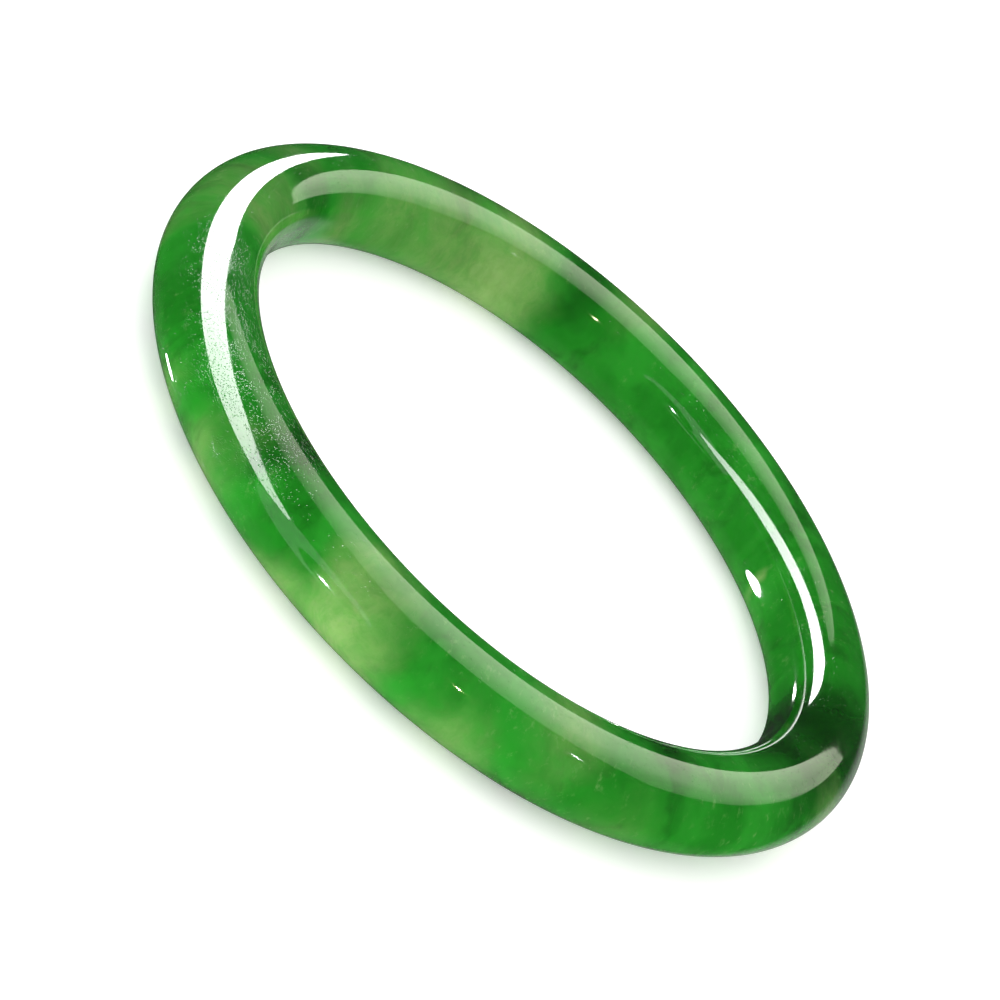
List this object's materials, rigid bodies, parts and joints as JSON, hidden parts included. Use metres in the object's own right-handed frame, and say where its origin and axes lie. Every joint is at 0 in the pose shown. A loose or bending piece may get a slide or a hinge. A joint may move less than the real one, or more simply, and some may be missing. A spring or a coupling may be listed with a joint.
{
  "type": "bangle bracelet",
  "caption": "Closed round bangle of polished, cloudy green jade, worn over the hand on the wrist; a plain ring with a rounded bar, no clasp or hinge.",
  "frame": {"origin": "centre of the wrist opening, midway up the bar", "axes": "+Z along the bangle's axis, square to the plane it lies in; +X and +Y are any two radial directions, because the ring is round"},
  "size_m": [0.0722, 0.0722, 0.0082],
  "materials": {
    "jade": "high polish on translucent green jade with paler and darker clouds"
  },
  "bodies": {
    "root": {"jade_bangle": "jade"}
  },
  "joints": []
}
